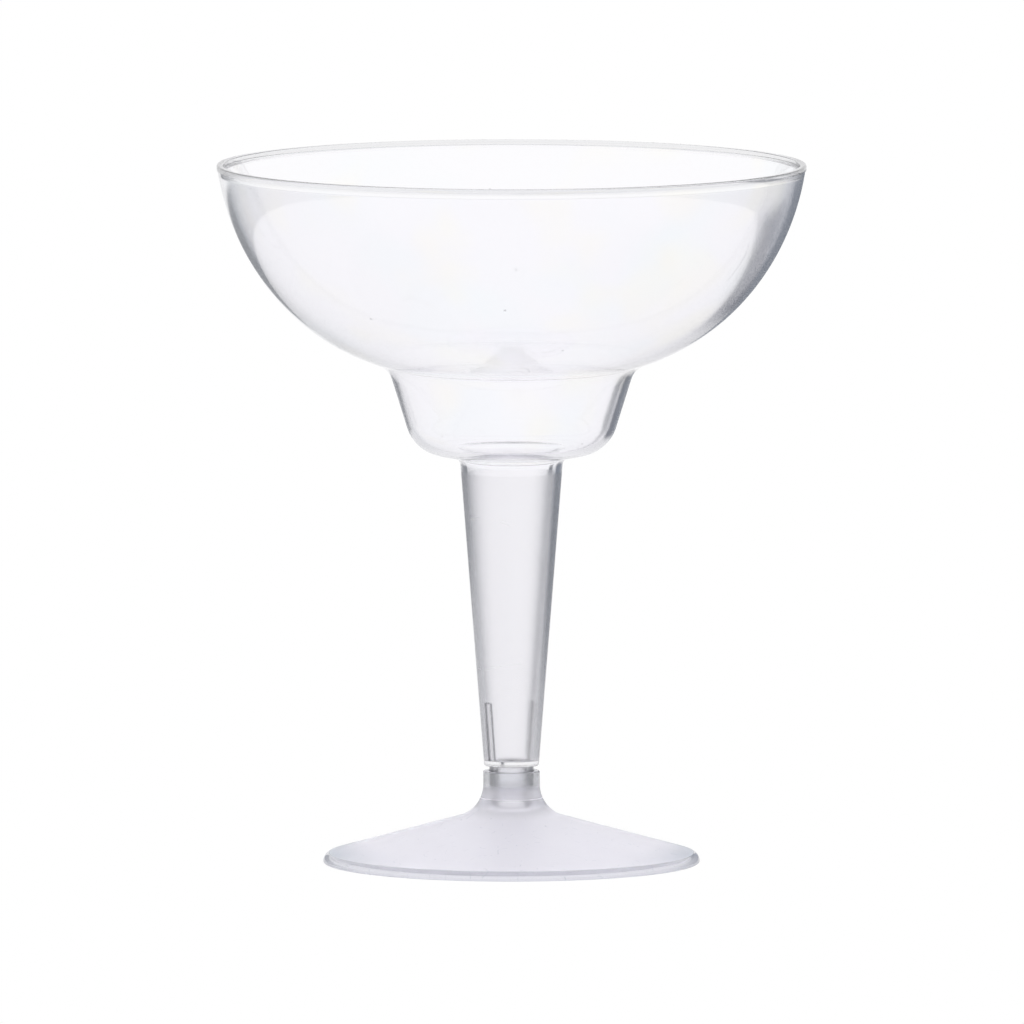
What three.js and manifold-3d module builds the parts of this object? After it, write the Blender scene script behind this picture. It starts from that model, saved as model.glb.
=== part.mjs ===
// A clear plastic stemmed glass in two mouldings: a bowl with its stem, and a foot pushed on from below.
// Millimetres, +Z up. The origin is on the axis, on the surface that the foot stands on.
import * as THREE from "three";
import { mergeVertices } from "three/addons/utils/BufferGeometryUtils.js";
import Module from "manifold-3d";

// Foot: a shallow cone on a narrow ring, with a collar in its middle
const FOOT_RADIUS = 38.35;
const FOOT_SLOPE = 15.8; // degrees from level
const FOOT_WALL = 1.3;
const FOOT_EDGE_ROUND = 1.8;
const FOOT_RING_WIDTH = 1.6;
const FOOT_RING_HEIGHT = 0.7; // how far the ring stands below the underside
const FLARE_ROUND = 6.7;
const COLLAR_HEIGHT = 7.91; // above the point where the cone would meet it
const COLLAR_WALL = 1.21;
const COLLAR_LIP_ROUND = 0.25;
const SOCKET_MOUTH_ROUND = 0.8;

// Peg under the stem, and its fit in the collar's socket
const PEG_RADIUS = 4.5;
const PEG_LENGTH = 9.35;
const PEG_DRAFT = 0.5; // degrees from upright
const PEG_WALL = 1.2;
const PEG_CLEARANCE = 0.05;
const SHOULDER_GAP = 1.05; // the peg wedges before the shoulder meets the collar

// Stem: a hollow cone, open to the cup
const STEM_LENGTH = 62.65;
const SHOULDER_WIDTH = 1.06; // how far the stem's end stands out round the peg
const STEM_TOP_RADIUS = 10.5;
const STEM_TOP_FILLET = 1.6;
const STEM_FLOOR = 1.05;
const SHOULDER_ROUND = 0.35;

// Ribs inside the stem's lower end
const RIB_COUNT = 2;
const RIB_LENGTH = 11.9;
const RIB_WIDTH = 1.9;
const RIB_HEIGHT = 0.7;
const RIB_TURN = 212; // degrees about +Z, from +X

// Lower cup
const CUP_BASE_RISE = 1.9;
const CUP_BASE_RADIUS = 19.9;
const CUP_BASE_ROUND = 8;
const CUP_HEIGHT = 16.8;

// Step and upper bowl
const STEP_RADIUS = 25.15;
const STEP_FILLET = 4.95;
const LEDGE_LENGTH = 2.7;
const LEDGE_SLOPE = 18.3; // degrees from level
const BELLY_REACH = 17.9; // how far the bowl's curve keeps to the ledge's slope
const BOWL_HEIGHT = 41.5;
const RIM_RADIUS = 60;
const RIM_DRAFT = 8.7; // degrees from upright
const RIM_REACH = 18.8; // how far the bowl's curve keeps to the rim's draft
const BEAD_HEIGHT = 1.1;
const BEAD_PROUD = 0.2;
const BEAD_ROUND = 0.4;
const WALL = 1.25;

// Fineness of the round forms
const SIDES = 56;
const BOWL_STEPS = 8;
const ARC_STEP = 22; // degrees

const CLEAR_PLASTIC = 0xf4f5f8;
const FROSTED_PLASTIC = 0xdedee6;

const radians = THREE.MathUtils.degToRad;
const point = (radius, height) => new THREE.Vector2(radius, height);
const corner = (radius, height, round = 0) => ({ at: point(radius, height), round });

// Radii that follow the peg, so that the pieces fit
const COLLAR_RADIUS = PEG_RADIUS + PEG_CLEARANCE + COLLAR_WALL;
const STEM_END_RADIUS = PEG_RADIUS + SHOULDER_WIDTH;

// The foot's cone: its outside and its underside at a radius
const coneFall = Math.tan(radians(FOOT_SLOPE));
const undersideHeight = (radius) => FOOT_RING_HEIGHT + (FOOT_RADIUS - FOOT_RING_WIDTH - radius) * coneFall;
const coneHeight = (radius) => undersideHeight(radius) + FOOT_WALL / Math.cos(radians(FOOT_SLOPE));

// Heights, stacked up from the ground
const COLLAR_TOP = coneHeight(COLLAR_RADIUS) + COLLAR_HEIGHT;
const SHOULDER_Z = COLLAR_TOP + SHOULDER_GAP;
const PEG_END_Z = SHOULDER_Z - PEG_LENGTH;
const CAVITY_FLOOR_Z = SHOULDER_Z + STEM_FLOOR;
const STEM_TOP_Z = SHOULDER_Z + STEM_LENGTH;
const CUP_BASE_Z = STEM_TOP_Z + CUP_BASE_RISE;
const STEP_Z = CUP_BASE_Z + CUP_HEIGHT;
const RIM_Z = STEP_Z + BOWL_HEIGHT;

const stemTaper = Math.atan2(STEM_TOP_RADIUS - STEM_END_RADIUS, STEM_LENGTH);
const pegShrink = (drop) => drop * Math.tan(radians(PEG_DRAFT));

// The stem's outside radius at a height.
function stemRadius(height) {
  return STEM_END_RADIUS + (height - SHOULDER_Z) * Math.tan(stemTaper);
}

// The stem's inside radius at a height.
function stemBore(height) {
  return stemRadius(height) - WALL / Math.cos(stemTaper);
}

// Half the angle between the two sides that meet at a corner.
function halfAngle(before, here, after) {
  const back = before.at.clone().sub(here.at);
  const ahead = after.at.clone().sub(here.at);
  return back.angleTo(ahead) / 2;
}

// The arc of a radius that rounds one corner.
function roundCorner(before, here, after, radius) {
  const half = halfAngle(before, here, after);
  const back = before.at.clone().sub(here.at).normalize();
  const ahead = after.at.clone().sub(here.at).normalize();
  const toMiddle = back.clone().add(ahead).normalize();
  const middle = here.at.clone().addScaledVector(toMiddle, radius / Math.sin(half));
  const start = here.at.clone().addScaledVector(back, radius / Math.tan(half)).sub(middle);
  const end = here.at.clone().addScaledVector(ahead, radius / Math.tan(half)).sub(middle);
  const turn = Math.atan2(start.cross(end), start.dot(end));
  const steps = Math.max(2, Math.ceil(Math.abs(turn) / radians(ARC_STEP)));
  return Array.from({ length: steps + 1 }, (_, i) =>
    start.clone().rotateAround(point(0, 0), (turn * i) / steps).add(middle),
  );
}

// An outline through corners, each sharp or rounded.
// Two rounds that share a side too short for both shrink alike.
function outline(corners) {
  const last = corners.length - 1;
  const isRound = (i) => i > 0 && i < last && corners[i].round > 0;
  const reach = corners.map((here, i) =>
    isRound(i) ? here.round / Math.tan(halfAngle(corners[i - 1], here, corners[i + 1])) : 0,
  );
  const fits = (i, j) => Math.min(1, corners[i].at.distanceTo(corners[j].at) / (reach[i] + reach[j]));
  return corners.flatMap((here, i) => {
    if (!isRound(i)) return [here.at];
    const radius = here.round * Math.min(fits(i, i - 1), fits(i, i + 1));
    return roundCorner(corners[i - 1], here, corners[i + 1], radius);
  });
}

// A line of points moved to its left by a distance.
function offset(points, distance) {
  return points.map((here, i) => {
    const along = points[Math.min(i + 1, points.length - 1)].clone().sub(points[Math.max(i - 1, 0)]);
    along.normalize();
    return point(here.x - along.y * distance, here.y + along.x * distance);
  });
}

// A closed outline turned about the Z axis.
function turned(points) {
  return new THREE.LatheGeometry(points, SIDES).rotateX(Math.PI / 2);
}

// The outside of the wall from the stem's end up to the bead under the rim.
function outerWall() {
  const ledge = point(Math.cos(radians(LEDGE_SLOPE)), Math.sin(radians(LEDGE_SLOPE)));
  const draft = point(Math.sin(radians(RIM_DRAFT)), Math.cos(radians(RIM_DRAFT)));
  const ledgeEnd = point(STEP_RADIUS, STEP_Z).addScaledVector(ledge, LEDGE_LENGTH);
  const wallTop = point(RIM_RADIUS - BEAD_PROUD, RIM_Z - BEAD_HEIGHT);
  const bowl = new THREE.CubicBezierCurve(
    ledgeEnd,
    ledgeEnd.clone().addScaledVector(ledge, BELLY_REACH),
    wallTop.clone().addScaledVector(draft, -RIM_REACH),
    wallTop,
  );
  const stemAndCup = outline([
    corner(STEM_END_RADIUS, SHOULDER_Z),
    corner(STEM_TOP_RADIUS, STEM_TOP_Z, STEM_TOP_FILLET),
    corner(CUP_BASE_RADIUS, CUP_BASE_Z, CUP_BASE_ROUND),
    corner(STEP_RADIUS, STEP_Z, STEP_FILLET),
    corner(ledgeEnd.x, ledgeEnd.y),
  ]);
  return [...stemAndCup, ...bowl.getPoints(BOWL_STEPS).slice(1)];
}

// The bowl, cup, stem and peg as one outline, from the peg's hollow up the outside and over the rim
// to the cavity's floor.
function bowlOutline() {
  const outside = outerWall();
  const inside = offset(outside, WALL);
  inside[0] = point(stemBore(CAVITY_FLOOR_Z), CAVITY_FLOOR_Z);
  const innerTop = inside.pop();
  const lipRadius = innerTop.x + (RIM_Z - innerTop.y) * Math.tan(radians(RIM_DRAFT));
  const pegEndRadius = PEG_RADIUS - pegShrink(PEG_LENGTH);
  const pegAndShoulder = outline([
    corner(0, SHOULDER_Z),
    corner(PEG_RADIUS - PEG_WALL, SHOULDER_Z),
    corner(pegEndRadius - PEG_WALL, PEG_END_Z),
    corner(pegEndRadius, PEG_END_Z),
    corner(PEG_RADIUS, SHOULDER_Z),
    corner(STEM_END_RADIUS, SHOULDER_Z, SHOULDER_ROUND),
    corner(outside[1].x, outside[1].y),
  ]);
  const rim = outline([
    corner(RIM_RADIUS, RIM_Z - BEAD_HEIGHT),
    corner(RIM_RADIUS, RIM_Z, BEAD_ROUND),
    corner(lipRadius, RIM_Z, BEAD_ROUND),
    corner(innerTop.x, innerTop.y),
  ]);
  return [
    ...pegAndShoulder,
    ...outside.slice(2),
    ...rim,
    ...inside.reverse(),
    point(0, CAVITY_FLOOR_Z),
  ];
}

// One rib: a strip along the bore's wall, from the cavity's floor up, rooted in the wall and the floor.
function ribGeometry(turn) {
  const root = WALL / 2;
  const low = CAVITY_FLOOR_Z - STEM_FLOOR / 2;
  const high = CAVITY_FLOOR_Z + RIB_LENGTH;
  const side = new THREE.Shape([
    point(stemBore(low) - RIB_HEIGHT, low),
    point(stemBore(low) + root, low),
    point(stemBore(high) + root, high),
    point(stemBore(high) - RIB_HEIGHT, high),
  ]);
  const rib = new THREE.ExtrudeGeometry(side, { depth: RIB_WIDTH, bevelEnabled: false, steps: 1 });
  return rib.translate(0, 0, -RIB_WIDTH / 2).rotateX(Math.PI / 2).rotateZ(turn);
}

const wasm = await Module();
wasm.setup();

// A closed geometry as a solid that can be joined.
function solid(geometry) {
  const bare = geometry.clone();
  bare.deleteAttribute("normal");
  bare.deleteAttribute("uv");
  const merged = mergeVertices(bare);
  return new wasm.Manifold(
    new wasm.Mesh({
      numProp: 3,
      vertProperties: new Float32Array(merged.attributes.position.array),
      triVerts: new Uint32Array(merged.index.array),
    }),
  );
}

// A solid as a geometry again.
function geometryOf(made) {
  const { vertProperties, triVerts } = made.getMesh();
  const geometry = new THREE.BufferGeometry();
  geometry.setAttribute("position", new THREE.BufferAttribute(vertProperties, 3));
  geometry.setIndex(new THREE.BufferAttribute(triVerts, 1));
  geometry.computeVertexNormals();
  return geometry;
}

function makeBowlAndStem() {
  let moulding = solid(turned(bowlOutline()));
  for (let i = 0; i < RIB_COUNT; i++) {
    const turn = radians(RIB_TURN + (360 * i) / RIB_COUNT);
    moulding = moulding.add(solid(ribGeometry(turn)));
  }
  const material = new THREE.MeshStandardMaterial({
    color: CLEAR_PLASTIC,
    roughness: 0.05,
    metalness: 0,
    transparent: true,
    opacity: 0.35,
  });
  const mesh = new THREE.Mesh(geometryOf(moulding), material);
  mesh.name = "bowl_and_stem";
  return mesh;
}

// The foot as one closed outline: collar, flare, cone and edge outside, then the underside and the socket.
function footOutline() {
  const socketRadius = (height) => PEG_RADIUS + PEG_CLEARANCE - pegShrink(SHOULDER_Z - height);
  const ringInside = FOOT_RADIUS - FOOT_RING_WIDTH;
  const socketEnd = undersideHeight(PEG_RADIUS);
  const socketTop = corner(socketRadius(COLLAR_TOP), COLLAR_TOP);
  return outline([
    socketTop,
    corner(socketRadius(socketEnd), socketEnd, SOCKET_MOUTH_ROUND),
    corner(ringInside, undersideHeight(ringInside)),
    corner(ringInside, 0),
    corner(FOOT_RADIUS, 0),
    corner(FOOT_RADIUS, coneHeight(FOOT_RADIUS), FOOT_EDGE_ROUND),
    corner(COLLAR_RADIUS, coneHeight(COLLAR_RADIUS), FLARE_ROUND),
    corner(COLLAR_RADIUS, COLLAR_TOP, COLLAR_LIP_ROUND),
    socketTop,
  ]);
}

function makeFoot() {
  const material = new THREE.MeshStandardMaterial({
    color: FROSTED_PLASTIC,
    roughness: 0.45,
    metalness: 0,
    transparent: true,
    opacity: 0.6,
  });
  const mesh = new THREE.Mesh(turned(footOutline()), material);
  mesh.name = "foot";
  return mesh;
}

const glass = new THREE.Group();
glass.add(makeFoot(), makeBowlAndStem());

export default glass;
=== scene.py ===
"""Dresses the two mouldings of a clear plastic stemmed glass and sets them in a white studio."""
import math

import bpy
from bpy.props import FloatProperty, FloatVectorProperty, IntProperty, PointerProperty
from mathutils import Matrix, Vector


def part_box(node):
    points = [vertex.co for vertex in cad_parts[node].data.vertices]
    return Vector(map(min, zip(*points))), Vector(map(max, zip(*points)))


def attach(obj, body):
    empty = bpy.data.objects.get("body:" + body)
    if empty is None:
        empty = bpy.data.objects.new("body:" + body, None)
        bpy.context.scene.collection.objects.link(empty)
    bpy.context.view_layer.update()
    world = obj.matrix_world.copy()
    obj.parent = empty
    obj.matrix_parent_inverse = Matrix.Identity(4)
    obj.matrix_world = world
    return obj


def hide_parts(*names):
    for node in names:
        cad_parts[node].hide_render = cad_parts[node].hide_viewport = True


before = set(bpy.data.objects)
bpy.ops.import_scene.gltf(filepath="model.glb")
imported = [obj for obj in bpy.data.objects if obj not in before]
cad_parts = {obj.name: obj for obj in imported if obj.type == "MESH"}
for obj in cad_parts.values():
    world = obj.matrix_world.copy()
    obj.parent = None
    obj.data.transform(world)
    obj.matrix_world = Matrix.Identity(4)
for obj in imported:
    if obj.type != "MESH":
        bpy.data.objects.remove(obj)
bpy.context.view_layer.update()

bl_info = {
    "name": "Stemmed plastic glass",
    "version": (1, 0, 0),
    "blender": (4, 5, 0),
    "location": "3D View > Sidebar > Glass",
    "description": "Makes the bowl with its stem, the foot, their plastics and a white studio",
    "category": "Add Mesh",
}

MM = 0.001
BOWL_LOW, BOWL_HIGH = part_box("bowl_and_stem")
FOOT_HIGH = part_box("foot")[1]


# Properties

def length(name, millimetres, description):
    """A length, given in millimetres and kept in metres."""
    return FloatProperty(
        name=name, description=description, default=millimetres * MM, min=0, precision=5, unit="LENGTH"
    )


def angle(name, degrees, description):
    """An angle, given in degrees and kept in radians."""
    return FloatProperty(
        name=name, description=description, default=math.radians(degrees), subtype="ANGLE"
    )


def factor(name, default, description, most=1.0):
    """A plain number from 0 up."""
    return FloatProperty(name=name, description=description, default=default, min=0, max=most)


def colour(name, default, description):
    """A linear colour."""
    return FloatVectorProperty(
        name=name, description=description, default=default, size=3, min=0, max=1, subtype="COLOR"
    )


class BowlSizes(bpy.types.PropertyGroup):
    """Sizes of the bowl, lower cup, stem and peg."""

    rim_radius: length("Rim radius", BOWL_HIGH.x / MM, "Outside radius of the bead at the rim")
    rim_height: length("Rim height", BOWL_HIGH.z / MM, "Height of the rim above the ground")
    rim_draft: angle("Rim draft", 8.7, "Lean of the wall from upright at the rim")
    rim_reach: length("Rim reach", 18.8, "How far the bowl's curve keeps to the rim's draft")
    bead_height: length("Bead height", 1.1, "Height of the bead at the rim")
    bead_proud: length("Bead proud", 0.2, "How far the bead stands out of the wall")
    bead_round: length("Bead rounding", 0.4, "Rounding of the bead and of the lip")
    bowl_height: length("Bowl height", 41.5, "From the step up to the rim")
    belly_reach: length("Belly reach", 17.9, "How far the bowl's curve keeps to the ledge's slope")
    ledge_length: length("Ledge length", 2.7, "Straight ledge above the step")
    ledge_slope: angle("Ledge slope", 18.3, "Slope of the ledge from level")
    step_radius: length("Step radius", 25.15, "Radius of the step above the lower cup")
    step_fillet: length("Step fillet", 4.95, "Rounding of the step")
    cup_height: length("Cup height", 16.8, "Height of the lower cup's wall")
    cup_base_radius: length("Cup base radius", 19.9, "Radius of the lower cup's base")
    cup_base_round: length("Cup base rounding", 8, "Rounding of the lower cup's base")
    cup_base_rise: length("Cup base rise", 1.9, "Rise of the cup's base from the stem outwards")
    stem_top_radius: length("Stem top radius", 10.5, "Outside radius of the stem under the cup")
    stem_top_fillet: length("Stem top fillet", 1.6, "Fillet between the stem and the cup")
    shoulder_gap: length("Shoulder gap", 1.05, "Gap between the stem's shoulder and the collar")
    shoulder_width: length("Shoulder width", 1.06, "How far the stem's end stands out round the peg")
    edge_round: length("Edge rounding", 0.3, "Rounding of the shoulder, the peg's end and the stem's floor")
    peg_radius: length("Peg radius", 4.5, "Outside radius of the peg at the shoulder")
    peg_draft: angle("Peg draft", 0.5, "Draft of the peg from upright")
    peg_wall: length("Peg wall", 1.2, "Wall of the hollow peg")
    stem_floor: length("Stem floor", 1.05, "Floor that closes the stem above the peg")
    wall: length("Wall", 1.25, "Wall of the bowl, cup and stem")
    rib_count: IntProperty(name="Ribs", description="Ribs inside the stem", default=2, min=0)
    rib_length: length("Rib length", 11.9, "From the stem's floor up")
    rib_width: length("Rib width", 1.9, "Width of a rib along the wall")
    rib_height: length("Rib height", 0.7, "How far a rib stands in from the wall")
    rib_turn: angle("Rib turn", 212, "Direction of the first rib, from +X")


class FootSizes(bpy.types.PropertyGroup):
    """Sizes of the foot."""

    foot_radius: length("Foot radius", FOOT_HIGH.x / MM, "Outside radius of the foot")
    collar_top: length("Collar top", FOOT_HIGH.z / MM, "Height of the collar's lip above the ground")
    slope: angle("Cone slope", 15.8, "Slope of the cone from level")
    wall: length("Foot wall", 1.3, "Wall of the cone")
    edge_round: length("Edge rounding", 1.8, "Rounding of the foot's edge")
    ring_width: length("Ring width", 1.6, "Width of the ring that the foot stands on")
    ring_height: length("Ring height", 0.7, "How far the ring stands below the underside")
    ring_round: length("Ring rounding", 0.25, "Rounding of the ring's own edges")
    flare_round: length("Flare rounding", 6.7, "Rounding between the cone and the collar")
    collar_wall: length("Collar wall", 1.21, "Wall of the collar")
    lip_round: length("Lip rounding", 0.25, "Rounding of the collar's lip")
    mouth_round: length("Mouth rounding", 0.8, "Rounding of the socket's lower end")
    peg_clearance: length("Peg clearance", 0.05, "Clearance between the peg and its socket")


class PlasticLooks(bpy.types.PropertyGroup):
    """Colours, painted shades and finishes of the two plastics."""

    refraction: factor("Refractive index", 1.57, "Refractive index of polystyrene", most=2.0)
    clear_tint: colour("Clear tint", (0.985, 0.98, 1.0), "Tint of the clear plastic")
    cool_tint: colour("Cool tint", (0.968, 0.982, 1.0), "Tint of its cooler patches")
    warm_tint: colour("Warm tint", (0.995, 0.985, 0.96), "Tint of its warmer patches")
    # Painted shade where the clear plastic is seen edge on
    clear_edge_shade: colour("Edge tint", (0.54, 0.55, 0.58), "Tint where the clear plastic is seen edge on")
    # Painted shade on the steep sides of the ribs
    rib_flank_shade: colour("Rib tint", (0.05, 0.05, 0.06), "Tint of the steep sides of the ribs")
    satin_tint: colour("Satin tint", (0.965, 0.96, 0.98), "Tint of the stem")
    # Painted shade on the peg where it is seen edge on
    peg_edge_shade: colour("Peg tint", (0.12, 0.12, 0.13), "Tint of the peg, seen edge on")
    # Painted grey shade on the lip at the rim
    lip_shade: colour("Lip tint", (0.87, 0.87, 0.88), "Tint of the lip at the rim")
    speck_tint: colour("Speck tint", (0.5, 0.5, 0.52), "Tint of the specks in the clear plastic")
    cool_size: length("Cool patch size", 26, "Size of the cooler patches")
    warm_size: length("Warm patch size", 18.2, "Size of the warmer patches")
    speck_spacing: length("Speck spacing", 11, "Spacing of the specks")
    speck_radius: length("Speck radius", 0.35, "Radius of the largest specks")
    wave_length: length("Wave length", 18, "Length of the waves left in the wall by moulding")
    wave_depth: length("Wave depth", 0.01, "Depth of those waves")
    clear_gloss: factor("Clear roughness", 0.05, "Roughness of the polished bowl")
    scratch_gloss: factor("Scratch roughness", 0.12, "Roughness that a hair scratch adds")
    scratch_spacing: length("Scratch spacing", 22, "Spacing of the hair scratches")
    scratch_width: length("Scratch width", 0.12, "Width of a hair scratch")
    stem_satin: factor("Stem roughness", 0.17, "Roughness of the stem")
    peg_satin: factor("Peg roughness", 0.14, "Roughness of the peg")
    satin_line: length("Satin line", 79.8, "Height where the clear top of the stem gives way to satin")
    frosted_tint: colour("Frosted tint", (0.95, 0.94, 1.0), "Tint of the frosted foot")
    # Painted shade on the frost near the foot's edge, and the tone of its real fine scratches
    frost_shade_and_scratch: colour("Frosted shade", (0.5, 0.55, 0.62), "Tint of the frost's edge and scratches")
    border_tint: colour("Border tint", (0.78, 0.79, 0.82), "Tint of the clear border round the foot")
    # Painted shade on the border where it is seen edge on
    border_edge_shade: colour("Border shade", (0.35, 0.37, 0.42), "Tint of that border, seen edge on")
    border_width: length("Border width", 1.2, "Width of that border")
    frost: factor("Frost", 0.4, "Roughness of the foot's cone")
    frost_clarity: factor("Frost clarity", 0.5, "Share of light that passes the frost unscattered")
    mottle: factor("Mottle", 0.2, "How much the roughness of the frost varies")
    mottle_size: length("Mottle size", 6.5, "Size of the patches of that variation")
    grain_size: length("Grain size", 0.5, "Size of the frost's grain")
    grain_depth: length("Grain depth", 0.008, "Depth of the frost's grain")
    fine_spacing: length("Fine scratch spacing", 5.5, "Spacing of the fine scratches in the frost")
    fine_width: length("Fine scratch width", 0.06, "Width of a fine scratch")
    fine_strength: factor("Fine scratch strength", 0.5, "Strength of a fine scratch's shade")
    collar_tint: colour("Collar tint", (0.975, 0.985, 1.0), "Tint of the satin collar")
    # Painted shade on the collar where it is seen edge on
    collar_edge_shade: colour("Collar shade", (0.72, 0.74, 0.75), "Tint of the collar, seen edge on")
    # Painted shade on the socket's sides where they are seen edge on
    socket_edge_shade: colour("Bore shade", (0.1, 0.1, 0.11), "Tint of the socket, seen edge on")
    flare_tint: colour("Flare tint", (0.84, 0.84, 0.87), "Tint of the satin that shows in the flare")
    collar_gloss: factor("Collar roughness", 0.2, "Roughness of the collar")
    collar_clarity: factor("Collar clarity", 0.95, "Share of light that passes the collar unscattered")
    frost_start: length("Frost start", 13.2, "Height where the satin of the collar begins to turn to frost")
    frost_full: length("Frost full", 9.5, "Height where the frost is full")
    seam_height: length("Seam height", 13.2, "Height of the fine pale seam round the collar")
    seam_width: length("Seam width", 0.18, "Width of that seam")
    haze: factor("Haze", 0.5, "Share of frost in the haze above the seam")
    haze_height: length("Haze height", 1, "From the seam up to the middle of that haze")
    haze_reach: length("Haze reach", 2.6, "How far that haze reaches from its middle")


class StudioSettings(bpy.types.PropertyGroup):
    """Camera, floor, tent and light."""

    elevation: angle("Elevation", 5.5, "Height of the camera above level")
    distance: length("Distance", 7000, "From the camera to the glass")
    lens: FloatProperty(
        name="Lens", description="Focal length in millimetres", default=1209, unit="CAMERA"
    )
    aim_height: length("Aim height", 71.58, "Height that the camera looks at")
    aim_side: length("Aim side", 0.1, "How far right of the axis the camera looks")
    floor_size: length("Floor size", 6000, "Width of the white floor")
    tent_radius: length("Tent radius", 400, "From the axis to the tent's wall")
    tent_height: length("Tent height", 500, "Height of the tent's wall")
    tent_light: colour("Tent light", (0.97, 0.97, 0.98), "The tent's light in what the plastics mirror")
    sky_light: colour("Sky light", (0.92, 0.92, 0.93), "Light that comes in above the tent")
    post_start: angle("Post start", 11.2, "Where the dark post behind the glass starts, right of +Y")
    post_end: angle("Post end", 16.5, "Where that post ends, right of +Y")
    post_height: length("Post height", 88, "Height of that post")
    post_shade: colour("Post shade", (0.12, 0.13, 0.15), "Shade of that post")
    post_foot: colour("Post foot", (0.2, 0.2, 0.23), "Shade of its foot on the floor")
    skirt_left: colour("Skirt left", (0.26, 0.27, 0.29), "Shade of the tent's dark skirt on the left")
    skirt_right: colour("Skirt right", (0.21, 0.23, 0.27), "Shade of that skirt on the right")
    skirt_height: length("Skirt height", 74, "Height of that skirt on the left")
    skirt_step: length("Skirt step", 30, "How much higher that skirt is on the right")
    gap_middle: angle("Gap middle", -1.5, "Middle of the skirt's gap behind the glass, right of +Y")
    gap_half: angle("Half gap", 12.5, "Half the width of that gap")
    board_middle: colour("Board middle", (0.86, 0.86, 0.88), "Shade of the board on the floor")
    board_sides: colour("Board sides", (0.75, 0.75, 0.77), "Shade of that board at its sides")
    board_front: colour("Board front", (0.92, 0.92, 0.93), "Shade of that board in front of the glass")
    board_corner: colour("Board corner", (0.2, 0.21, 0.24), "Shade of its far right corner")


# Node trees

# Sockets of a Mix node that mixes colours, whose names repeat
MIX_SHARE, MIX_FIRST, MIX_SECOND, MIX_RESULT = 0, 6, 7, 2


class Wire:
    """A socket of a node tree. Python's operators on it add Math nodes."""

    def __init__(self, nodes, socket):
        self.nodes = nodes
        self.socket = socket

    def output(self, name):
        """Another output of the same node."""
        return Wire(self.nodes, self.socket.node.outputs[name])

    def math(self, operation, *others):
        """A Math node that takes this wire first."""
        sockets = dict(enumerate((self, *others)))
        return self.nodes.add("ShaderNodeMath", {"operation": operation}, sockets)

    def rise(self, low, high):
        """0 below low, 1 above high and a smooth step between them."""
        sockets = {"Value": self, "From Min": low, "From Max": high}
        return self.nodes.add("ShaderNodeMapRange", {"interpolation_type": "SMOOTHSTEP"}, sockets)

    def fall(self, low, high):
        """1 below low, 0 above high and a smooth step between them."""
        return 1 - self.rise(low, high)

    def near(self, middle, inner, outer):
        """1 within the inner distance of a middle, 0 past the outer distance."""
        return (self - middle).math("ABSOLUTE").fall(inner, outer)

    def __add__(self, other):
        return self.math("ADD", other)

    def __sub__(self, other):
        return self.math("SUBTRACT", other)

    def __rsub__(self, other):
        return self.nodes.add("ShaderNodeMath", {"operation": "SUBTRACT"}, {0: other, 1: self})

    def __mul__(self, other):
        return self.math("MULTIPLY", other)

    def __truediv__(self, other):
        return self.math("DIVIDE", other)

    def __rtruediv__(self, other):
        return self.nodes.add("ShaderNodeMath", {"operation": "DIVIDE"}, {0: other, 1: self})

    __radd__ = __add__
    __rmul__ = __mul__


class Nodes:
    """A node tree that is filled by code."""

    def __init__(self, tree):
        self.tree = tree
        tree.nodes.clear()

    def add(self, kind, settings=None, sockets=None, output=0):
        """A new node: its settings come first, then the values or wires of its sockets."""
        node = self.tree.nodes.new(kind)
        for name, value in (settings or {}).items():
            setattr(node, name, value)
        for name, value in (sockets or {}).items():
            if isinstance(value, Wire):
                self.tree.links.new(value.socket, node.inputs[name])
            else:
                node.inputs[name].default_value = value
        return Wire(self, node.outputs[output]) if node.outputs else node

    def place(self):
        """The place of a point on its own piece."""
        return self.add("ShaderNodeTexCoord", output="Object")

    def split(self, vector):
        """The X, Y and Z of a vector."""
        x = self.add("ShaderNodeSeparateXYZ", None, {0: vector})
        return x, x.output("Y"), x.output("Z")

    def mix(self, share, first, second):
        """A colour between two colours, each a wire or plain red, green and blue."""
        sockets = {MIX_SHARE: share}
        for name, value in ((MIX_FIRST, first), (MIX_SECOND, second)):
            sockets[name] = value if isinstance(value, Wire) else (*value, 1)
        return self.add("ShaderNodeMix", {"data_type": "RGBA"}, sockets, MIX_RESULT)

    def layers(self, tint, *layers):
        """A tint with others laid over it in order, each (share, tint)."""
        for share, over in layers:
            tint = self.mix(share, tint, over)
        return tint


def from_axis(x, y):
    """The distance from the Z axis."""
    return (x * x + y * y).math("SQRT")


def new_material(name):
    """An empty material and its nodes."""
    material = bpy.data.materials.new(name)
    material.use_nodes = True
    return material, Nodes(material.node_tree)


# Outlines: points (radius, height) in the plane through the axis

ARC_STEP = math.radians(6)
ARC_LEAST_STEPS = 3
BOWL_STEPS = 48
SIDES = 256
TOUCHING = 0.01 * MM
LONG_RUN = 2 * MM
SUPPORT = 0.2 * MM
RIB_END = 0.15 * MM
# An inner corner's rounding is the size beside it divided by this
INNER_PART = 3


def half_angle(before, here, after):
    """Half the angle between the two sides that meet at a corner."""
    return (before - here).angle(after - here) / 2


def arc_at(before, here, after, radius):
    """The arc of a radius that rounds one corner."""
    half = half_angle(before, here, after)
    back = (before - here).normalized()
    ahead = (after - here).normalized()
    middle = here + (back + ahead).normalized() * (radius / math.sin(half))
    start = here + back * (radius / math.tan(half)) - middle
    end = here + ahead * (radius / math.tan(half)) - middle
    turn = math.atan2(start.x * end.y - start.y * end.x, start.dot(end))
    steps = max(ARC_LEAST_STEPS, math.ceil(abs(turn) / ARC_STEP))
    return [middle + Matrix.Rotation(turn * i / steps, 2) @ start for i in range(steps + 1)]


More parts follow.
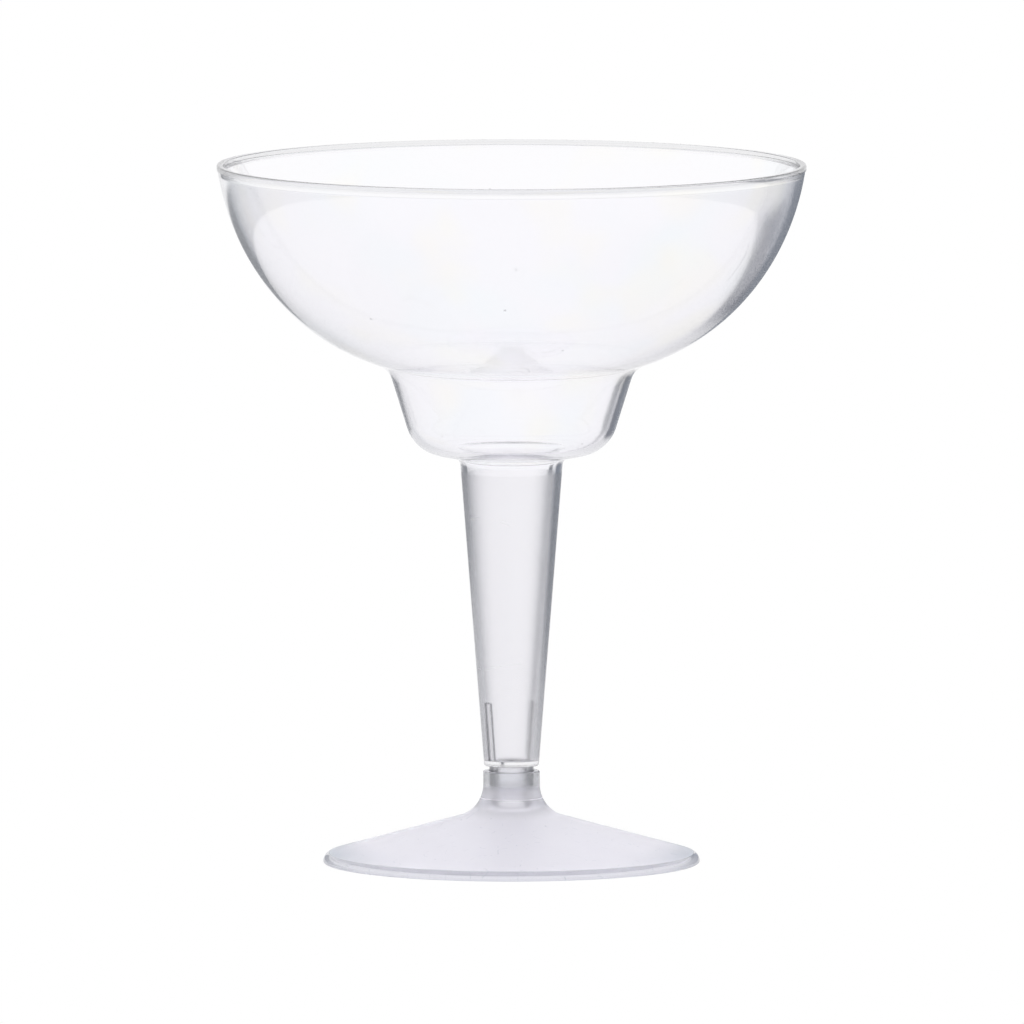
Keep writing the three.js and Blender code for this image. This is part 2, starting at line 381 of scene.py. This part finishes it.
def rounded(corners):
    """A line through corners (radius, height, rounding). Rounds that share a short side shrink alike."""
    spots = [Vector(each[:2]) for each in corners]
    rounds = [each[2] if len(each) > 2 else 0 for each in corners]
    reach = [0.0] * len(corners)
    for i in range(1, len(corners) - 1):
        if rounds[i]:
            reach[i] = rounds[i] / math.tan(half_angle(*spots[i - 1:i + 2]))

    def share(i, j):
        return min(1, (spots[i] - spots[j]).length / (reach[i] + reach[j]))

    points = []
    for i, spot in enumerate(spots):
        if reach[i]:
            radius = rounds[i] * min(share(i, i - 1), share(i, i + 1))
            points += arc_at(*spots[i - 1:i + 2], radius)
        else:
            points.append(spot)
    return points


def bezier(start, first, second, end, steps):
    """Points along a cubic curve, without its start."""
    points = []
    for i in range(1, steps + 1):
        t = i / steps
        s = 1 - t
        points.append(start * s**3 + first * (3 * s * s * t) + second * (3 * s * t * t) + end * t**3)
    return points


def moved_left(points, distance):
    """A line of points moved to its left by a distance."""
    moved = []
    for i, here in enumerate(points):
        along = (points[min(i + 1, len(points) - 1)] - points[max(i - 1, 0)]).normalized()
        moved.append(here + Vector((-along.y, along.x)) * distance)
    return moved


def supported(points):
    """The same line with a point close to each end of its long runs, which keeps shading true there."""
    line = [points[0]]
    for start, end in zip(points, points[1:]):
        run = end - start
        if run.length > LONG_RUN:
            step = run.normalized() * SUPPORT
            line += [start + step, end - step]
        line.append(end)
    return line


def spaced(points):
    """The same line without points that lie on each other."""
    line = [points[0]]
    for point in points[1:]:
        if (point - line[-1]).length > TOUCHING:
            line.append(point)
    return line


class Heights:
    """Heights and radii that follow from the sizes."""

    def __init__(self, bowl, foot):
        self.shoulder = foot.collar_top + bowl.shoulder_gap
        self.floor = self.shoulder + bowl.stem_floor
        self.peg_end = BOWL_LOW.z
        self.step = bowl.rim_height - bowl.bowl_height
        self.cup_base = self.step - bowl.cup_height
        self.stem_top = self.cup_base - bowl.cup_base_rise
        self.bead = bowl.rim_height - bowl.bead_height
        self.socket_radius = bowl.peg_radius + foot.peg_clearance
        self.stem_end_radius = bowl.peg_radius + bowl.shoulder_width
        self.stem_slope = (bowl.stem_top_radius - self.stem_end_radius) / (self.stem_top - self.shoulder)
        self.wall_across = bowl.wall / math.cos(math.atan(self.stem_slope))

    def bore(self, height):
        """The stem's inside radius."""
        return self.stem_end_radius + (height - self.shoulder) * self.stem_slope - self.wall_across


def outer_wall(bowl, at):
    """The outside of the wall, from the stem's end up to the bead."""
    ledge = Vector((math.cos(bowl.ledge_slope), math.sin(bowl.ledge_slope)))
    draft = Vector((math.sin(bowl.rim_draft), math.cos(bowl.rim_draft)))
    ledge_end = Vector((bowl.step_radius, at.step)) + ledge * bowl.ledge_length
    wall_top = Vector((bowl.rim_radius - bowl.bead_proud, at.bead))
    stem_and_cup = rounded([
        (at.stem_end_radius, at.shoulder),
        (bowl.stem_top_radius, at.stem_top, bowl.stem_top_fillet),
        (bowl.cup_base_radius, at.cup_base, bowl.cup_base_round),
        (bowl.step_radius, at.step, bowl.step_fillet),
        tuple(ledge_end),
    ])
    belly = bezier(
        ledge_end,
        ledge_end + ledge * bowl.belly_reach,
        wall_top - draft * bowl.rim_reach,
        wall_top,
        BOWL_STEPS,
    )
    return stem_and_cup + belly


def bowl_outline(bowl, at):
    """The outline of the bowl, cup, stem and peg, and each point's share of a rib."""
    outside = outer_wall(bowl, at)
    inside = moved_left(outside, bowl.wall)
    inner_top = inside.pop()
    lip_radius = inner_top.x + (bowl.rim_height - inner_top.y) * math.tan(bowl.rim_draft)
    peg_end_radius = bowl.peg_radius - (at.shoulder - at.peg_end) * math.tan(bowl.peg_draft)
    peg_and_shoulder = rounded([
        (0, at.shoulder),
        (bowl.peg_radius - bowl.peg_wall, at.shoulder, bowl.edge_round),
        (peg_end_radius - bowl.peg_wall, at.peg_end, bowl.edge_round),
        (peg_end_radius, at.peg_end, bowl.edge_round),
        (bowl.peg_radius, at.shoulder, bowl.edge_round / INNER_PART),
        (at.stem_end_radius, at.shoulder, bowl.edge_round),
        tuple(outside[1]),
    ])
    rim = rounded([
        tuple(outside[-1]),
        (bowl.rim_radius, at.bead, bowl.bead_proud / INNER_PART),
        (bowl.rim_radius, bowl.rim_height, bowl.bead_round),
        (lip_radius, bowl.rim_height, bowl.bead_round),
        tuple(inner_top),
    ])
    rib_top = at.floor + bowl.rib_length
    plain = supported(spaced(
        peg_and_shoulder
        + outside[2:]
        + rim
        + inside[:0:-1]
        + [Vector((at.bore(rib_top + RIB_END), rib_top + RIB_END))]
    ))
    ribbed = supported(rounded([
        (at.bore(rib_top), rib_top),
        (at.bore(at.floor), at.floor, bowl.edge_round),
        (0, at.floor),
    ]))
    shares = [0.0] * len(plain) + [1.0] * (len(ribbed) - 1) + [0.0]
    return plain + ribbed, shares


def foot_outline(foot, bowl, at):
    """The closed outline of the foot: socket, underside, ring, edge, cone, flare and collar."""
    fall = math.tan(foot.slope)
    ring_inside = foot.foot_radius - foot.ring_width
    collar_radius = at.socket_radius + foot.collar_wall

    def under(radius):
        return foot.ring_height + (ring_inside - radius) * fall

    def over(radius):
        return under(radius) + foot.wall / math.cos(foot.slope)

    def socket(height):
        return at.socket_radius - (at.shoulder - height) * math.tan(bowl.peg_draft)

    mouth = under(bowl.peg_radius)
    middle = (foot.collar_top + mouth) / 2
    points = rounded([
        (socket(middle), middle),
        (socket(mouth), mouth, foot.mouth_round),
        (ring_inside, under(ring_inside), foot.ring_round),
        (ring_inside, 0, foot.ring_round),
        (foot.foot_radius, 0, foot.ring_round),
        (foot.foot_radius, over(foot.foot_radius), foot.edge_round),
        (collar_radius, over(collar_radius), foot.flare_round),
        (collar_radius, foot.collar_top, foot.lip_round),
        (socket(foot.collar_top), foot.collar_top, foot.lip_round),
        (socket(middle), middle),
    ])
    return supported(spaced(points))[:-1]


# Geometry nodes that turn an outline about the axis

AXIS_RADIUS = 1 * MM
WELD = 0.002 * MM
# Shares of a rib's half width where its side starts to slope and where it ends
RIB_SIDE = (0.3, 1.1)


def turning_tree():
    """Turns an outline about the Z axis and raises ribs where the outline has a share of them."""
    tree = bpy.data.node_groups.new("turned_moulding", "GeometryNodeTree")
    tree.is_modifier = True
    for name, kind in (
        ("Outline", "NodeSocketGeometry"),
        ("Sides", "NodeSocketInt"),
        ("Rib count", "NodeSocketInt"),
        ("Rib turn", "NodeSocketFloat"),
        ("Rib width", "NodeSocketFloat"),
        ("Rib height", "NodeSocketFloat"),
        ("Plastic", "NodeSocketMaterial"),
    ):
        tree.interface.new_socket(name, in_out="INPUT", socket_type=kind)
    tree.interface.new_socket("Moulding", in_out="OUTPUT", socket_type="NodeSocketGeometry")
    nodes = Nodes(tree)
    given = nodes.add("NodeGroupInput")
    line = nodes.add("GeometryNodeMeshToCurve", None, {"Mesh": given})
    section = nodes.add(
        "GeometryNodeTransform",
        None,
        {"Geometry": line, "Translation": (-AXIS_RADIUS, 0, 0), "Rotation": (math.pi / 2, 0, 0)},
    )
    circle = nodes.add(
        "GeometryNodeCurvePrimitiveCircle",
        {"mode": "RADIUS"},
        {"Resolution": given.output("Sides"), "Radius": AXIS_RADIUS},
    )
    upright = nodes.add("GeometryNodeSetCurveNormal", {"mode": "Z_UP"}, {"Curve": circle})
    turned = nodes.add("GeometryNodeCurveToMesh", None, {"Curve": upright, "Profile Curve": section})
    ribbed = raise_ribs(nodes, given, turned)
    welded = nodes.add("GeometryNodeMergeByDistance", None, {"Geometry": ribbed, "Distance": WELD})
    outwards = nodes.add("GeometryNodeFlipFaces", None, {"Mesh": welded})
    smooth = nodes.add("GeometryNodeSetShadeSmooth", None, {"Geometry": outwards})
    plain = nodes.add("GeometryNodeRealizeInstances", None, {"Geometry": smooth})
    dressed = nodes.add(
        "GeometryNodeSetMaterial", None, {"Geometry": plain, "Material": given.output("Plastic")}
    )
    nodes.add("NodeGroupOutput", None, {"Moulding": dressed})
    return tree


def raise_ribs(nodes, given, turned):
    """Moves the wall inwards along evenly spaced ribs, and keeps each point's share of a rib."""
    x, y, _ = nodes.split(nodes.add("GeometryNodeInputPosition"))
    radius = from_axis(x, y)
    spacing = 2 * math.pi / given.output("Rib count").math("MAXIMUM", 1)
    from_rib = (y.math("ARCTAN2", x) - given.output("Rib turn")) / spacing
    across = (from_rib - from_rib.math("ROUND")).math("ABSOLUTE") * spacing * radius
    half_width = given.output("Rib width") / 2
    ribbed = nodes.add(
        "GeometryNodeInputNamedAttribute", {"data_type": "FLOAT"}, {"Name": "rib_share"}
    )
    rib = ribbed * across.fall(*(half_width * share for share in RIB_SIDE))
    inwards = rib * given.output("Rib height") / radius.math("MAXIMUM", WELD)
    offset = nodes.add("ShaderNodeCombineXYZ", None, {"X": 0 - x * inwards, "Y": 0 - y * inwards})
    kept = nodes.add(
        "GeometryNodeStoreNamedAttribute",
        {"data_type": "FLOAT", "domain": "POINT"},
        {"Geometry": turned, "Name": "rib", "Value": rib},
    )
    return nodes.add("GeometryNodeSetPosition", None, {"Geometry": kept, "Offset": offset})


def turned_piece(name, points, shares, closed, inputs):
    """A plain mesh turned from an outline by the node tree."""
    count = len(points)
    edges = [(i, i + 1) for i in range(count - 1)]
    if closed:
        edges.append((count - 1, 0))
    outline = bpy.data.meshes.new(name + "_outline")
    outline.from_pydata([(point.x, 0, point.y) for point in points], edges, [])
    outline.attributes.new("rib_share", "FLOAT", "POINT").data.foreach_set("value", shares)
    piece = bpy.data.objects.new(name, outline)
    bpy.context.scene.collection.objects.link(piece)
    tree = bpy.data.node_groups.get("turned_moulding") or turning_tree()
    turning = piece.modifiers.new("turning", "NODES")
    turning.node_group = tree
    for item in tree.interface.items_tree:
        if item.in_out == "INPUT" and item.name in inputs:
            turning[item.identifier] = inputs[item.name]
    graph = bpy.context.evaluated_depsgraph_get()
    mesh = bpy.data.meshes.new_from_object(piece.evaluated_get(graph))
    piece.modifiers.remove(turning)
    piece.data = mesh
    mesh.name = name
    mesh.attributes.remove(mesh.attributes["rib_share"])
    bpy.data.meshes.remove(outline)
    return piece


# Plastics

# How far a surface is turned from the eye, 0 to 1, where its painted edge shade starts and where it is full
STEM_TURN = (0.08, 0.85)
WALL_TURN = (0.75, 1.0)
PEG_TURN = (0.18, 0.55)
FROST_TURN = (0.66, 0.86)
BORDER_TURN = (0.35, 0.95)
COLLAR_TURN = (0.25, 0.8)
BORE_TURN = (0.2, 0.6)
# Blend of a Layer Weight node at which that turn is 1 less the cosine
EVEN_BLEND = 0.5

# Levels of a random pattern where a mark starts and where it is full, and the pattern's own middle
COOL_LEVELS = (0.5, 0.68)
WARM_LEVELS = (0.54, 0.72)
HAIRLINE_LEVELS = (0.55, 0.6)
PATTERN_MIDDLE = 0.5

# Detail of a random pattern
PATCH_DETAIL = 1.0
GRAIN_DETAIL = 2.0
# Hairlines are broken up by a pattern this many times finer than their own
HAIRLINE_BREAKS = 5
# Share of a speck's radius that has its full tint
SPECK_CORE = 0.6

# Distances over which one finish gives way to the next
BLUR = 0.2 * MM
FINE_BLUR = 0.1 * MM
STEM_FLOOR_BLUR = 1 * MM
FLARE_BLUR = 0.5 * MM
BORE_SKIN = (0.1 * MM, 0.3 * MM)
CUP_BASE_REACH = (1 * MM, 4 * MM)
LEDGE_REACH = (1.5 * MM, 4 * MM)
HAZE_CORE = 0.3 * MM
# From the step up to the middle of the ledge's band, which has no painted edge shade
LEDGE_MIDDLE = 2 * MM
# Shares of the seam's width, from its middle, where it starts to fade and where it ends
SEAM_HALF = (0.3, 0.5)
# Share of the foot's radius where the painted shade on the frost starts
FROST_SHADE_START = 0.75


def plastic_shader(nodes, looks, clarity, tint, roughness, normal):
    """The shader of one finish. Clarity is the share of the light that goes through unscattered."""
    return nodes.add("ShaderNodeBsdfPrincipled", None, {
        "Transmission Weight": clarity,
        "IOR": looks.refraction,
        "Base Color": tint,
        "Roughness": roughness,
        "Normal": normal,
    })


def edge_on(nodes):
    """0 where a surface is seen face on, 1 where it is seen edge on."""
    return nodes.add("ShaderNodeLayerWeight", None, {"Blend": EVEN_BLEND}, output="Facing")


def cloud(nodes, where, size, detail=0.0):
    """A soft random pattern with patches of a size."""
    return nodes.add("ShaderNodeTexNoise", None, {"Vector": where, "Scale": 1 / size, "Detail": detail})


def specks(nodes, where, looks):
    """1 in a few small spots."""
    away = nodes.add("ShaderNodeTexVoronoi", None, {"Vector": where, "Scale": 1 / looks.speck_spacing})
    radius = looks.speck_radius / looks.speck_spacing
    return away.fall(SPECK_CORE * radius, radius)


def hair_scratches(nodes, where, spacing, width):
    """1 along short curved hairlines."""
    line = cloud(nodes, where, spacing).near(PATTERN_MIDDLE, 0.0, width / spacing)
    return line * cloud(nodes, where, spacing / HAIRLINE_BREAKS).rise(*HAIRLINE_LEVELS)


def bumps(nodes, height, depth):
    """The normal of a surface with bumps of a depth."""
    return nodes.add("ShaderNodeBump", None, {"Height": height, "Distance": depth})


def moulding_waves(nodes, where, looks):
    """The normal of a polished wall with the shallow waves that moulding leaves."""
    return bumps(nodes, cloud(nodes, where, looks.wave_length), looks.wave_depth)


def clear_plastic(looks, at):
    """Polished on the bowl and cup, satin on the stem, with faint patches, specks and scratches, and
    painted shade on the lip, on the ribs' sides and where the walls and peg are seen edge on.
    """
    material, nodes = new_material("clear_polystyrene")
    where = nodes.place()
    _, _, height = nodes.split(where)
    turn = edge_on(nodes)
    lip = (height - at.bead).rise(0, BLUR)
    stem = (height - looks.satin_line).fall(-BLUR, BLUR)
    peg = (height - at.shoulder).fall(-BLUR, BLUR)
    ledge = (height - at.step).near(LEDGE_MIDDLE, *LEDGE_REACH)
    cup_base = (height - at.cup_base).fall(*CUP_BASE_REACH)
    walls = (1 - lip) * (1 - ledge) * (1 - cup_base)
    stem_wall = stem * (height - at.floor).rise(0, STEM_FLOOR_BLUR)
    rib = nodes.add("ShaderNodeAttribute", {"attribute_name": "rib"}, output="Fac")
    # Where the ribs' sides get painted shade: 1 halfway up a rib's side, 0 on its crest and beside it
    shaded_rib_side = 4 * rib * (1 - rib)
    tint = nodes.layers(
        looks.clear_tint,
        (cloud(nodes, where, looks.cool_size, PATCH_DETAIL).rise(*COOL_LEVELS), looks.cool_tint),
        (cloud(nodes, where, looks.warm_size, PATCH_DETAIL).rise(*WARM_LEVELS), looks.warm_tint),
        (stem, looks.satin_tint),
        # Painted grey shade on the lip at the rim
        (lip, looks.lip_shade),
        # Painted shade where the stem and the walls are seen edge on
        (stem_wall * turn.rise(*STEM_TURN) + walls * turn.rise(*WALL_TURN), looks.clear_edge_shade),
        # Painted shade on the ribs' sides
        (shaded_rib_side, looks.rib_flank_shade),
        # Painted shade on the peg where it is seen edge on
        (peg * turn.rise(*PEG_TURN), looks.peg_edge_shade),
        (specks(nodes, where, looks), looks.speck_tint),
    )
    scratched = hair_scratches(nodes, where, looks.scratch_spacing, looks.scratch_width)
    roughness = (
        looks.clear_gloss
        + stem * (looks.stem_satin - looks.clear_gloss)
        + peg * (looks.peg_satin - looks.stem_satin)
        + scratched * looks.scratch_gloss
    )
    shader = plastic_shader(nodes, looks, 1.0, tint, roughness, moulding_waves(nodes, where, looks))
    nodes.add("ShaderNodeOutputMaterial", None, {"Surface": shader})
    return material


def frost_finish(nodes, looks, where, shaded_frost_edge):
    """Frost with a grain, a slight mottle and fine scratches, and painted shade near the foot's edge where
    it is seen edge on.
    """
    scratched = hair_scratches(nodes, where, looks.fine_spacing, looks.fine_width)
    tint = nodes.layers(
        looks.frosted_tint,
        (shaded_frost_edge, looks.frost_shade_and_scratch),
        (scratched * looks.fine_strength, looks.frost_shade_and_scratch),
    )
    mottle = (cloud(nodes, where, looks.mottle_size, PATCH_DETAIL) - PATTERN_MIDDLE) * looks.mottle
    grain = bumps(nodes, cloud(nodes, where, looks.grain_size, GRAIN_DETAIL), looks.grain_depth)
    return plastic_shader(nodes, looks, looks.frost_clarity, tint, looks.frost + mottle, grain)


def collar_finish(nodes, looks, above_seam, bore, turn, waves):
    """Satin on the collar, a little darker in the flare, with painted shade where the collar and the sides
    of the socket are seen edge on.
    """
    tint = nodes.layers(
        looks.flare_tint,
        (above_seam.rise(-FLARE_BLUR, 0), looks.collar_tint),
        # Painted shade where the collar and the socket's sides are seen edge on
        (turn.rise(*COLLAR_TURN), looks.collar_edge_shade),
        (bore * turn.rise(*BORE_TURN), looks.socket_edge_shade),
    )
    return plastic_shader(nodes, looks, looks.collar_clarity, tint, looks.collar_gloss, waves)


def border_finish(nodes, looks, turn, waves):
    """Polish on the clear border round the foot, with painted shade where it is seen edge on."""
    # Painted shade where the border is seen edge on
    tint = nodes.mix(turn.rise(*BORDER_TURN), looks.border_tint, looks.border_edge_shade)
    return plastic_shader(nodes, looks, 1.0, tint, looks.clear_gloss, waves)


def frosted_plastic(looks, foot_radius, at):
    """Frosted on the cone, satin on the collar, and polished round the edge."""
    material, nodes = new_material("frosted_polystyrene")
    where = nodes.place()
    x, y, height = nodes.split(where)
    radius = from_axis(x, y)
    turn = edge_on(nodes)
    waves = moulding_waves(nodes, where, looks)
    border = (radius - (foot_radius - looks.border_width)).rise(-FINE_BLUR, FINE_BLUR)
    bore = (radius - at.socket_radius).fall(*BORE_SKIN)
    # Painted shade on the frost near the foot's edge, where it is seen edge on
    shaded_frost_edge = radius.rise(FROST_SHADE_START * foot_radius, foot_radius) * turn.rise(*FROST_TURN)
    above_seam = height - looks.seam_height
    seam = above_seam.near(0, *(looks.seam_width * share for share in SEAM_HALF))
    haze = above_seam.near(looks.haze_height, HAZE_CORE, looks.haze_reach)
    satin = height.rise(looks.frost_full, looks.frost_start) * (1 - seam) * (1 - looks.haze * haze)
    frosted = frost_finish(nodes, looks, where, shaded_frost_edge)
    collar = collar_finish(nodes, looks, above_seam, bore, turn, waves)
    polished = border_finish(nodes, looks, turn, waves)
    upper = nodes.add("ShaderNodeMixShader", None, {0: satin, 1: frosted, 2: collar})
    whole = nodes.add("ShaderNodeMixShader", None, {0: border, 1: upper, 2: polished})
    nodes.add("ShaderNodeOutputMaterial", None, {"Surface": whole})
    return material


# Studio

BOUNCES = 64
CAMERA_REACH = 20
TENT_SIDES = 96
WHITE = (1, 1, 1)
SOFT_LIGHT = (1.25, 1.25, 1.25)

# Distances from the axis where one shade of the floor starts and where it is full
POST_FOOT_BACK = (100 * MM, 160 * MM)
BOARD_SIDE = (20 * MM, 90 * MM)
BOARD_FRONT = (80 * MM, 220 * MM)
BOARD_CORNER_BACK = (170 * MM, 185 * MM)
BOARD_CORNER_RIGHT = (90 * MM, 140 * MM)

# Distances and angles over which one shade of the tent gives way to the next
POST_TOP_BLUR = 4 * MM
SKIRT_TOP_BLUR = 6 * MM
SIDE_BLUR = math.radians(0.5)
RIGHT_BLUR = 0.1


def place_camera(scene, studio):
    """A long lens, a little above level, looking along +Y."""
    lens = bpy.data.cameras.new("camera")
    lens.lens = studio.lens
    lens.clip_end = CAMERA_REACH
    camera = bpy.data.objects.new("camera", lens)
    scene.collection.objects.link(camera)
    camera.location = (
        studio.aim_side,
        -studio.distance * math.cos(studio.elevation),
        studio.aim_height + studio.distance * math.sin(studio.elevation),
    )
    camera.rotation_euler = (math.pi / 2 - studio.elevation, 0, 0)
    scene.camera = camera


def stage_mesh(scene, name, points, faces, seen=True):
    """Adds a piece of the stage that lights itself and casts no shadow. Gives the nodes of its light."""
    mesh = bpy.data.meshes.new(name)
    mesh.from_pydata(points, [], faces)
    piece = bpy.data.objects.new(name, mesh)
    scene.collection.objects.link(piece)
    material, nodes = new_material(name + "_glow")
    mesh.materials.append(material)
    piece.visible_shadow = False
    piece.visible_camera = seen
    return nodes


def shared_light(nodes, through, mirrored):
    """White to the camera, soft light to frost, else one colour straight through and one mirrored."""
    rays = nodes.add("ShaderNodeLightPath")
    reflected = rays.output("Glossy Depth").math("MINIMUM", 1)
    scattered = rays.output("Diffuse Depth").math("MINIMUM", 1)
    return nodes.layers(
        through, (reflected, mirrored), (scattered, SOFT_LIGHT), (rays.output("Is Camera Ray"), WHITE)
    )


def glow(nodes, through, mirrored):
    """Ends a stage material with its own light."""
    light = nodes.add("ShaderNodeEmission", None, {"Color": shared_light(nodes, through, mirrored)})
    nodes.add("ShaderNodeOutputMaterial", None, {"Surface": light})


def post_direction(azimuth, studio):
    """1 in the direction of the dark post from the axis."""
    starts = azimuth.rise(studio.post_start, studio.post_start + SIDE_BLUR)
    return starts * azimuth.fall(studio.post_end, studio.post_end + SIDE_BLUR)


def lay_floor(scene, studio):
    """A white floor. The plastics mirror a pale board on it, and show the dark foot of the post."""
    half = studio.floor_size / 2
    corners = [(-half, -half, 0), (half, -half, 0), (half, half, 0), (-half, half, 0)]
    nodes = stage_mesh(scene, "floor", corners, [(0, 1, 2, 3)])
    x, y, _ = nodes.split(nodes.place())
    post = post_direction(x.math("ARCTAN2", y), studio) * y.rise(*POST_FOOT_BACK)
    corner = y.rise(*BOARD_CORNER_BACK) * x.rise(*BOARD_CORNER_RIGHT)
    board = nodes.layers(
        studio.board_middle,
        (x.math("ABSOLUTE").rise(*BOARD_SIDE), studio.board_sides),
        ((0 - y).rise(*BOARD_FRONT), studio.board_front),
        (corner, studio.board_corner),
    )
    glow(nodes, nodes.mix(post, WHITE, studio.post_foot), board)


def raise_tent(scene, studio):
    """A bright tent that the camera doesn't see. The plastics show its post and mirror its dark skirt."""
    turns = [2 * math.pi * i / TENT_SIDES for i in range(TENT_SIDES)]
    ring = [(math.sin(turn) * studio.tent_radius, math.cos(turn) * studio.tent_radius) for turn in turns]
    points = [(*spot, height) for height in (0, studio.tent_height) for spot in ring]
    sides = [(i, (i + 1) % TENT_SIDES) for i in range(TENT_SIDES)]
    faces = [(i, after, after + TENT_SIDES, i + TENT_SIDES) for i, after in sides]
    nodes = stage_mesh(scene, "tent", points, faces, seen=False)
    x, y, height = nodes.split(nodes.place())
    azimuth = x.math("ARCTAN2", y)
    post = post_direction(azimuth, studio)
    post = post * (height - studio.post_height).fall(-POST_TOP_BLUR, POST_TOP_BLUR)
    right = azimuth.rise(-RIGHT_BLUR, RIGHT_BLUR)
    above_skirt = height - studio.skirt_step * right - studio.skirt_height
    gap = azimuth.near(studio.gap_middle, studio.gap_half - SIDE_BLUR, studio.gap_half + SIDE_BLUR)
    skirt = above_skirt.fall(-SKIRT_TOP_BLUR, SKIRT_TOP_BLUR) * (1 - gap)
    shade = nodes.mix(right, studio.skirt_left, studio.skirt_right)
    glow(
        nodes,
        nodes.mix(post, WHITE, studio.post_shade),
        nodes.mix(skirt, studio.tent_light, shade),
    )


def studio_light(studio):
    """White to the camera, and a little softer to the plastics."""
    world = bpy.data.worlds.new("studio")
    world.use_nodes = True
    nodes = Nodes(world.node_tree)
    colours = shared_light(nodes, studio.sky_light, studio.sky_light)
    light = nodes.add("ShaderNodeBackground", None, {"Color": colours})
    nodes.add("ShaderNodeOutputWorld", None, {"Surface": light})
    return world


# Operators

class GLASS_OT_bowl_and_stem(bpy.types.Operator):
    """Turns the bowl, cup, stem and peg as one clear moulding"""

    bl_idname = "glass.bowl_and_stem"
    bl_label = "Bowl and stem"

    def execute(self, context):
        glass = context.scene.stemmed_glass
        at = Heights(glass.bowl, glass.foot)
        points, shares = bowl_outline(glass.bowl, at)
        piece = turned_piece("clear_bowl_and_stem", points, shares, False, {
            "Sides": SIDES,
            "Rib count": glass.bowl.rib_count,
            "Rib turn": glass.bowl.rib_turn,
            "Rib width": glass.bowl.rib_width,
            "Rib height": glass.bowl.rib_height,
            "Plastic": clear_plastic(glass.looks, at),
        })
        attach(piece, "bowl_and_stem")
        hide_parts("bowl_and_stem")
        return {"FINISHED"}


class GLASS_OT_foot(bpy.types.Operator):
    """Turns the foot with its collar as one frosted moulding"""

    bl_idname = "glass.foot"
    bl_label = "Foot"

    def execute(self, context):
        glass = context.scene.stemmed_glass
        at = Heights(glass.bowl, glass.foot)
        points = foot_outline(glass.foot, glass.bowl, at)
        piece = turned_piece("frosted_foot", points, [0.0] * len(points), True, {
            "Sides": SIDES,
            "Plastic": frosted_plastic(glass.looks, glass.foot.foot_radius, at),
        })
        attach(piece, "foot")
        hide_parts("foot")
        return {"FINISHED"}


class GLASS_OT_studio(bpy.types.Operator):
    """Sets the camera, the white floor and the soft light"""

    bl_idname = "glass.studio"
    bl_label = "Studio"

    def execute(self, context):
        scene = context.scene
        studio = scene.stemmed_glass.studio
        scene.view_settings.view_transform = "Standard"
        scene.cycles.max_bounces = BOUNCES
        scene.cycles.transmission_bounces = BOUNCES
        scene.cycles.glossy_bounces = BOUNCES
        place_camera(scene, studio)
        lay_floor(scene, studio)
        raise_tent(scene, studio)
        scene.world = studio_light(studio)
        return {"FINISHED"}


# Panel, settings and registration

class GLASS_PT_panel(bpy.types.Panel):
    """Lists the glass's pieces and sizes"""

    bl_label = "Stemmed glass"
    bl_idname = "GLASS_PT_panel"
    bl_space_type = "VIEW_3D"
    bl_region_type = "UI"
    bl_category = "Glass"

    def draw(self, context):
        glass = context.scene.stemmed_glass
        for operator in (GLASS_OT_bowl_and_stem, GLASS_OT_foot, GLASS_OT_studio):
            self.layout.operator(operator.bl_idname)
        for group in (glass.bowl, glass.foot, glass.looks, glass.studio):
            box = self.layout.box()
            for name in group.__annotations__:
                box.prop(group, name)


class GlassSettings(bpy.types.PropertyGroup):
    """All settings of the glass and its studio."""

    bowl: PointerProperty(type=BowlSizes, name="Bowl and stem", description="Sizes of the clear moulding")
    foot: PointerProperty(type=FootSizes, name="Foot", description="Sizes of the frosted moulding")
    looks: PointerProperty(type=PlasticLooks, name="Plastics", description="Looks of the two plastics")
    studio: PointerProperty(type=StudioSettings, name="Studio", description="Camera, stage and light")


CLASSES = (
    BowlSizes,
    FootSizes,
    PlasticLooks,
    StudioSettings,
    GlassSettings,
    GLASS_OT_bowl_and_stem,
    GLASS_OT_foot,
    GLASS_OT_studio,
    GLASS_PT_panel,
)


def register():
    for each in CLASSES:
        bpy.utils.register_class(each)
    bpy.types.Scene.stemmed_glass = PointerProperty(
        type=GlassSettings, name="Stemmed glass", description="Settings of the glass and its studio"
    )


def unregister():
    del bpy.types.Scene.stemmed_glass
    for each in reversed(CLASSES):
        bpy.utils.unregister_class(each)


def main():
    register()
    bpy.ops.glass.studio()
    bpy.ops.glass.bowl_and_stem()
    bpy.ops.glass.foot()


if __name__ == "__main__":
    main()
